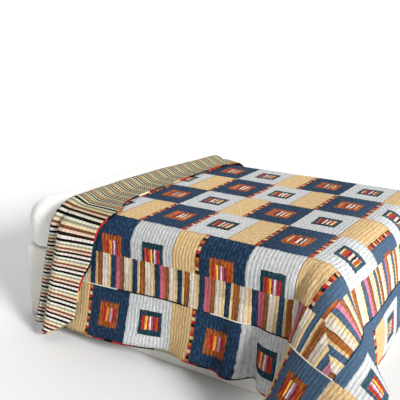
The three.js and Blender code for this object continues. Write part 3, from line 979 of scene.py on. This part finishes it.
    # Seams between blocks and between rows lie in a shadow line
    seam_stops = []
    for start in (0.0, NAVY_END, GREY_END, TAN_END):
        seam_stops.append((start, (SEAM_TONE, SEAM_TONE, SEAM_TONE, 1.0)))
        seam_stops.append((start + SEAM_SHARE, (1.0, 1.0, 1.0, 1.0)))
    seam_tone = add("ValToRGB", {0: along}, stops=seam_stops)
    seam_tone = add("SeparateColor", {0: seam_tone})
    row_seam = add("Math", {0: v, 1: ROW_HEIGHT}, operation="MODULO")
    row_seam = add("Math", {0: row_seam}, operation="ABSOLUTE")
    row_tone = add("Math", {0: row_seam, 1: ROW_SEAM}, operation="GREATER_THAN")
    row_tone = add("Math", {
        0: row_tone, 1: 1 - ROW_SEAM_TONE, 2: ROW_SEAM_TONE}, operation="MULTIPLY_ADD")
    seam_tone = add("Math", {0: seam_tone.outputs[0], 1: row_tone}, operation="MINIMUM")
    seam_tone = add("Math", {0: seam_tone, 1: after_field}, operation="MAXIMUM")

    # Bolts of one colour differ a little, and the dye is uneven. The tone also carries painted shade:
    # darker in the pucker hollows and lighter on their tops, darker along each sewn line, and in the shadow
    # line at the seams
    streak_depth = add("Math", {
        0: in_frame, 1: FRAME_STREAKS, 2: PLAIN_STREAKS}, operation="MULTIPLY_ADD")
    streak_tone = add("Math", {0: streak_tone, 1: streak_depth}, operation="MULTIPLY")
    key_number = add("Math", {0: key_run}, operation="FLOOR")
    patch_number = add("Mix", {0: in_keys, 2: block_number, 3: key_number}, data_type="FLOAT")
    bolt_place = add("CombineXYZ", {0: patch_number, 1: row_middle, 2: colour})
    bolt = add("TexWhiteNoise", {"Vector": bolt_place}, noise_dimensions="3D")
    bolt = add("Math", {0: bolt, 1: 0.5}, operation="SUBTRACT")
    bolt_depth = add("Math", {0: in_keys, 1: KEY_BOLTS, 2: PLAIN_BOLTS}, operation="MULTIPLY_ADD")
    dye = add("TexNoise", {"Vector": flat, "Scale": DYE_SCALE, "Detail": 4.0, "Roughness": 0.65})
    puckers, height, line_shade = sewn_channels(add)
    tone = add("Math", {0: bolt, 1: bolt_depth, 2: TONE_LEVEL}, operation="MULTIPLY_ADD")
    for source, weight in ((dye, DYE_TONE), (streak_tone, 1.0), (puckers, PUCKER_SHADING), (line_shade, 1.0)):
        tone = add("Math", {0: source, 1: weight, 2: tone}, operation="MULTIPLY_ADD")
    tone = add("Math", {0: tone, 1: seam_tone}, operation="MULTIPLY")
    # Painted light: every patch is painted a little lighter towards the foot, where the light falls
    lit_towards_foot = add("MapRange", {
        0: u, 1: FOOT_LIGHT_RUN[0], 2: FOOT_LIGHT_RUN[1], 3: 0.0, 4: 1.0}, interpolation_type="SMOOTHSTEP")
    foot_light_gain = add("Math", {0: lit_towards_foot, 1: FOOT_LIGHT_TONE, 2: 1.0}, operation="MULTIPLY_ADD")
    tone = add("Math", {0: tone, 1: foot_light_gain}, operation="MULTIPLY")
    colour = add("HueSaturation", {"Color": colour, "Value": tone})

    # Painted sheen: the bluish patches (navy, teal and pink) are painted lighter and bluer towards the
    # foot, where the light falls on them
    colour_parts = add("SeparateColor", {0: colour})
    blueness = add("Math", {0: colour_parts.outputs[2], 1: colour_parts.outputs[1]}, operation="SUBTRACT")
    blue_sheen_share = add("MapRange", {0: blueness, 1: 0.0, 2: SHEEN_BLUENESS, 3: 0.0, 4: FOOT_SHEEN_DEPTH})
    painted_sheen = add("Math", {0: blue_sheen_share, 1: lit_towards_foot}, operation="MULTIPLY")
    colour = add("Mix", {0: painted_sheen, 6: colour, 7: linear(FOOT_SHEEN_BLUE)}, data_type="RGBA").outputs[2]

    # Painted highlight: the tops of the puckers are painted lighter, which shows on the dark patches
    pucker_highlight = add("MapRange", {0: puckers, 1: PUCKER_HIGHLIGHT_FROM[0], 2: PUCKER_HIGHLIGHT_FROM[1], 3: 0.0, 4: PUCKER_HIGHLIGHT_DEPTH})
    colour = add("Mix", {
        0: pucker_highlight, 6: colour, 7: linear(PUCKER_HIGHLIGHT)}, data_type="RGBA", blend_type="ADD").outputs[2]
    finish_cotton(add, colour, height, PATCH_BUMP_SIZE, roughness=PATCH_ROUGHNESS, gloss=PATCH_GLOSS)
    return material


def striped_cotton():
    """The reverse: matt printed cotton striped along the bed, dark stripes between pale ones.

    Two of the stripes have a small print, drawn coarser than the real one so that it shows.
    """
    material, add = new_material("striped_printed_cotton")
    flat = add("UVMap", uv_map="flat")
    place = add("SeparateXYZ", {0: flat})
    stripe = add("Math", {
        0: place.outputs[1], 1: -1 / STRIPE_PERIOD, 2: STRIPE_START}, operation="MULTIPLY_ADD")
    stripe = add("Math", {0: stripe}, operation="FRACT")
    stripes = add("ValToRGB", {0: stripe}, stops=weighted_stops([
        (22, RUSSET), (20, PEACH), (23, UMBER), (23, CHALK),
        (25, BLACK), (20, SAGE), (19, LICHEN), (22, STRAW)]))

    # Dots along the lichen stripe and fainter ticks along the chalk one
    figure = add("Math", {0: place.outputs[0], 1: DOT_PITCH / 2}, operation="PINGPONG")
    figure = add("Math", {0: figure, 1: DOT_PITCH / 5}, operation="LESS_THAN")
    in_dots = add("Math", {0: stripe, 1: DOTS_MIDDLE, 2: DOTS_HALF}, operation="COMPARE")
    in_ticks = add("Math", {0: stripe, 1: TICKS_MIDDLE, 2: TICKS_HALF}, operation="COMPARE")
    print_share = add("Math", {0: in_ticks, 1: TICK_SHARE, 2: in_dots}, operation="MULTIPLY_ADD")
    print_share = add("Math", {0: print_share, 1: figure}, operation="MULTIPLY")
    dye = add("TexNoise", {"Vector": flat, "Scale": REVERSE_DYE_SCALE, "Detail": 4.0, "Roughness": 0.65})
    puckers, height, line_shade = sewn_channels(add)
    # The tone carries painted shade: darker in the pucker hollows, lighter on their tops, and darker along
    # each sewn line
    tone = REVERSE_LEVEL
    parts = [
        (dye, REVERSE_DYE_TONE),
        (puckers, REVERSE_PUCKER_SHADING),
        (line_shade, REVERSE_LINE_TONE),
        (print_share, DOT_TONE),
    ]
    for source, weight in parts:
        tone = add("Math", {0: source, 1: weight, 2: tone}, operation="MULTIPLY_ADD")
    colour = add("HueSaturation", {"Color": stripes, "Value": tone})

    # Painted shade: the flap is painted darker and greener on top of the bed than down its sides, as shade
    # from pillows that would lie there
    side = add("Math", {0: place.outputs[1]}, operation="ABSOLUTE")
    on_top = add("MapRange", {
        0: side, 1: SIDE_BEND, 2: SIDE_BEND + BEND_LENGTH, 3: 1.0, 4: 0.0}, interpolation_type="SMOOTHSTEP")
    colour = add("Mix", {
        0: on_top, 6: colour, 7: linear(TOP_SHADE_TINT)}, data_type="RGBA", blend_type="MULTIPLY").outputs[2]
    finish_cotton(add, colour, height, REVERSE_BUMP_SIZE, bump=REVERSE_BUMP)
    return material


def pieced_tape(name, period, parts):
    """Folded cotton tape joined from lengths of several colours, a bright matt line along an edge.

    Its grain is drawn coarser than real threads, which are too fine to show.
    """
    material, add = new_material(name)
    length = add("UVMap", uv_map="length")
    place = add("SeparateXYZ", {0: length})
    part = add("Math", {0: place.outputs[0], 1: 1 / period}, operation="MULTIPLY")
    part = add("Math", {0: part}, operation="FRACT")
    colours = add("ValToRGB", {0: part}, stops=weighted_stops(parts))
    where = add("TexCoord").outputs["Object"]
    dye = add("TexNoise", {"Vector": where, "Scale": TAPE_DYE_SCALE, "Detail": 3.0})
    tone = add("Math", {0: dye, 1: TAPE_DYE_TONE, 2: TAPE_LEVEL}, operation="MULTIPLY_ADD")
    colour = add("HueSaturation", {"Color": colours, "Value": tone})
    weave = add("TexNoise", {"Vector": where, "Scale": 1 / TAPE_GRAIN, "Detail": 3.0})
    finish_cotton(add, colour, weave, TAPE_BUMP_SIZE, roughness=TAPE_ROUGHNESS)
    return material


def plain_cloth(name, colour, thread, roughness):
    """Plain woven cloth of one colour, matt, with a little unevenness in the yarn.

    Its threads are drawn coarser than real ones, which are too fine to show.
    """
    material, add = new_material(name)
    where = add("TexCoord").outputs["Object"]
    yarn = add("TexNoise", {"Vector": where, "Scale": 1 / (thread * SLUB_THREADS), "Detail": 4.0})
    tone = add("Math", {0: yarn, 1: YARN_TONE, 2: YARN_LEVEL}, operation="MULTIPLY_ADD")
    toned = add("HueSaturation", {"Color": linear(colour), "Value": tone})
    weave = add("TexNoise", {"Vector": where, "Scale": 1 / thread, "Detail": 3.0, "Roughness": 0.6})
    finish_cotton(add, toned, weave, CLOTH_BUMP_SIZE, roughness=roughness)
    return material


def studio():
    """A pale floor that curves up behind the bed, a soft sky and a broad light from beyond the foot."""
    turn = math.radians(CAMERA_TURN)
    away = np.array([-math.sin(turn), math.cos(turn), 0.0])
    across = np.array([math.cos(turn), math.sin(turn), 0.0])
    bend = np.linspace(0, math.pi / 2, COVE_STEPS)
    out = COVE_FLAT + COVE_RADIUS * np.sin(bend)
    out = np.concatenate([[-COVE_REACH], out, [COVE_FLAT + COVE_RADIUS]])
    up = np.concatenate([[0.0], COVE_RADIUS * (1 - np.cos(bend)), [COVE_HEIGHT]])
    line = out[:, None] * away + up[:, None] * np.array([0.0, 0.0, 1.0])
    sides = np.array([-COVE_REACH, 0.0, COVE_REACH])
    points = line[:, None] + sides[None, ::-1, None] * across
    floor = grid_piece("studio_floor", points, {})
    only(floor)
    bpy.ops.object.shade_smooth()

    # Matt paper, which takes soft shadows and shows no shine
    material, add = new_material("matt_white_paper")
    surface = add("BsdfPrincipled", {"Base Color": linear(PAPER), "Roughness": PAPER_ROUGHNESS})
    add("OutputMaterial", {"Surface": surface})
    floor.data.materials.append(material)

    # The sky is brightest on one side, with a pale haze all round the horizon
    world = bpy.data.worlds.new("soft_white_sky")
    world.use_nodes = True
    world.node_tree.nodes.clear()
    add = functools.partial(add_node, world.node_tree)
    brightest = np.array(SKY_TOWARD) / np.linalg.norm(SKY_TOWARD)
    direction = add("TexCoord").outputs["Generated"]
    facing = add("VectorMath", {
        0: direction, 1: tuple(brightest)}, operation="DOT_PRODUCT").outputs["Value"]
    strength = add("Math", {
        0: facing, 1: SKY_RISE / 2, 2: SKY_LOW + SKY_RISE / 2}, operation="MULTIPLY_ADD", use_clamp=True)
    height = add("SeparateXYZ", {0: direction}).outputs[2]
    haze = add("MapRange", {0: height, 1: HAZE_TOP[0], 2: HAZE_TOP[1], 3: HAZE, 4: 0.0})
    strength = add("Math", {0: strength, 1: haze}, operation="MAXIMUM")
    sky = add("Background", {"Color": (1.0, 1.0, 1.0, 1.0), "Strength": strength})
    add("OutputWorld", {"Surface": sky})
    bpy.context.scene.world = world

    bpy.ops.object.light_add(type="SUN", location=SUN_PLACE)
    sun = start_piece("foot_window_light")
    sun.data.energy = SUN_STRENGTH
    sun.data.angle = math.radians(SUN_SPREAD)
    toward = np.array(SUN_TOWARD) / np.linalg.norm(SUN_TOWARD)
    sun.rotation_euler = (math.acos(toward[2]), 0, math.atan2(toward[1], toward[0]) + math.pi / 2)
    bpy.context.scene.view_settings.view_transform = "Standard"
    bpy.context.scene.view_settings.exposure = EXPOSURE


def photo_camera():
    """The camera at the photograph's place: off the near foot corner, a little above the bed."""
    bpy.ops.object.camera_add(location=CAMERA_PLACE)
    camera = start_piece("photo_camera")
    camera.rotation_euler = (math.radians(90 - CAMERA_TILT), 0, math.radians(CAMERA_TURN))
    camera.data.sensor_width = CAMERA_SENSOR
    camera.data.lens = CAMERA_LENS
    bpy.context.scene.camera = camera


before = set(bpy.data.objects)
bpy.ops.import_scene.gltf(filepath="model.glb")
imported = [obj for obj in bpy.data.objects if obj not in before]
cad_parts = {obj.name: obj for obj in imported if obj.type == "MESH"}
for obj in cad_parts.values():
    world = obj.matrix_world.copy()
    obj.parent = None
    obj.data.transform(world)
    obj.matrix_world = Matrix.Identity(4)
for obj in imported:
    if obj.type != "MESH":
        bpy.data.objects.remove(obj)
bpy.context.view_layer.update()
photo_camera()
studio()

u, v, channel = quilt_net()
quilt_maps = {"flat": (u, v), "quilting": (channel, v)}
quilt = grid_piece("patchwork_quilt", quilt_points(u, v, channel), quilt_maps)
quilt.data.materials.append(patchwork_cotton())
quilt.data.materials.append(striped_cotton())
apply_modifier(quilt, "SOLIDIFY", thickness=QUILT_THICK, offset=0, material_offset=1)
bpy.ops.object.shade_smooth()
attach(quilt, "root")
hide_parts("quilt")

binding_cotton = pieced_tape("pieced_cotton_binding", BINDING_PERIOD, [
    (14, OLIVE), (5, TAN), (9, RED), (6, BLACK), (7, RED), (6, DARK_RED), (7, BLACK), (5, TEAL)])
head_cotton = pieced_tape("pieced_cotton_head_binding", HEAD_BINDING_PERIOD, [
    (10, OLIVE), (6, TAN), (10, RED), (9, BLACK), (14, TEAL), (14, RED), (7, BLACK), (10, RUST),
    (7, TEAL), (9, DARK_RED), (8, BLACK), (10, STRAW), (8, DARK_RED), (8, TEAL)])
piping_cotton = pieced_tape("pieced_cotton_piping", PIPING_PERIOD, [
    (50, CREAM), (59, BLACK), (23, CREAM), (32, BLACK), (31, CREAM)])
foot_piping_cotton = pieced_tape("pieced_cotton_foot_piping", FOOT_PIPING_PERIOD, [
    (90, NAVY), (34, TEAL), (90, NAVY)])

trim = []
for name, sign, row in (("near", -1, 0), ("far", 1, -1)):
    strip = edge_strip(f"binding_{name}_edge", u[::2, row], v[::2, row], (0, sign))
    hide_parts(f"binding_{name}")
    trim.append((strip, binding_cotton))
    seam_v = np.full(SIDE_PIPING_STEPS, sign * (KEY_SIDE + KEY_DEPTH))
    seam_u = np.linspace(fold_start(seam_v[:1])[0], KEY_FOOT + KEY_DEPTH, SIDE_PIPING_STEPS)
    trim.append((seam_piping(f"border_piping_{name}", seam_u, seam_v), piping_cotton))
foot_reach = SIDE_EDGE + BINDING_HALF_WIDTH
foot_v = np.linspace(-foot_reach, foot_reach, FOOT_BINDING_STEPS)
foot_strip = edge_strip("binding_foot_edge", np.full_like(foot_v, FOOT_EDGE), foot_v, (1, 0))
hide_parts("binding_foot")
head_strip = edge_strip("binding_head_edge", u[0], v[0], (-1, 0))
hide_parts("binding_head")
seam_v = np.linspace(-KEY_SIDE - KEY_DEPTH, KEY_SIDE + KEY_DEPTH, FOOT_PIPING_STEPS)
foot_seam = seam_piping("border_piping_foot", np.full_like(seam_v, KEY_FOOT + KEY_DEPTH), seam_v)
trim += [(foot_strip, binding_cotton), (head_strip, head_cotton), (foot_seam, foot_piping_cotton)]
for strip, material in trim:
    strip.data.materials.append(material)
    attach(strip, "root")

mattress = padded_mattress()
sheet_cotton = plain_cloth("white_cotton_sheet", SHEET_WHITE, SHEET_THREAD, SHEET_ROUGHNESS)
mattress.data.materials.append(sheet_cotton)
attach(mattress, "root")
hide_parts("mattress")

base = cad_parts["divan_base"]
base.data.materials.clear()
base.data.materials.append(plain_cloth("woven_base_cover", BASE_WHITE, BASE_THREAD, BASE_ROUGHNESS))
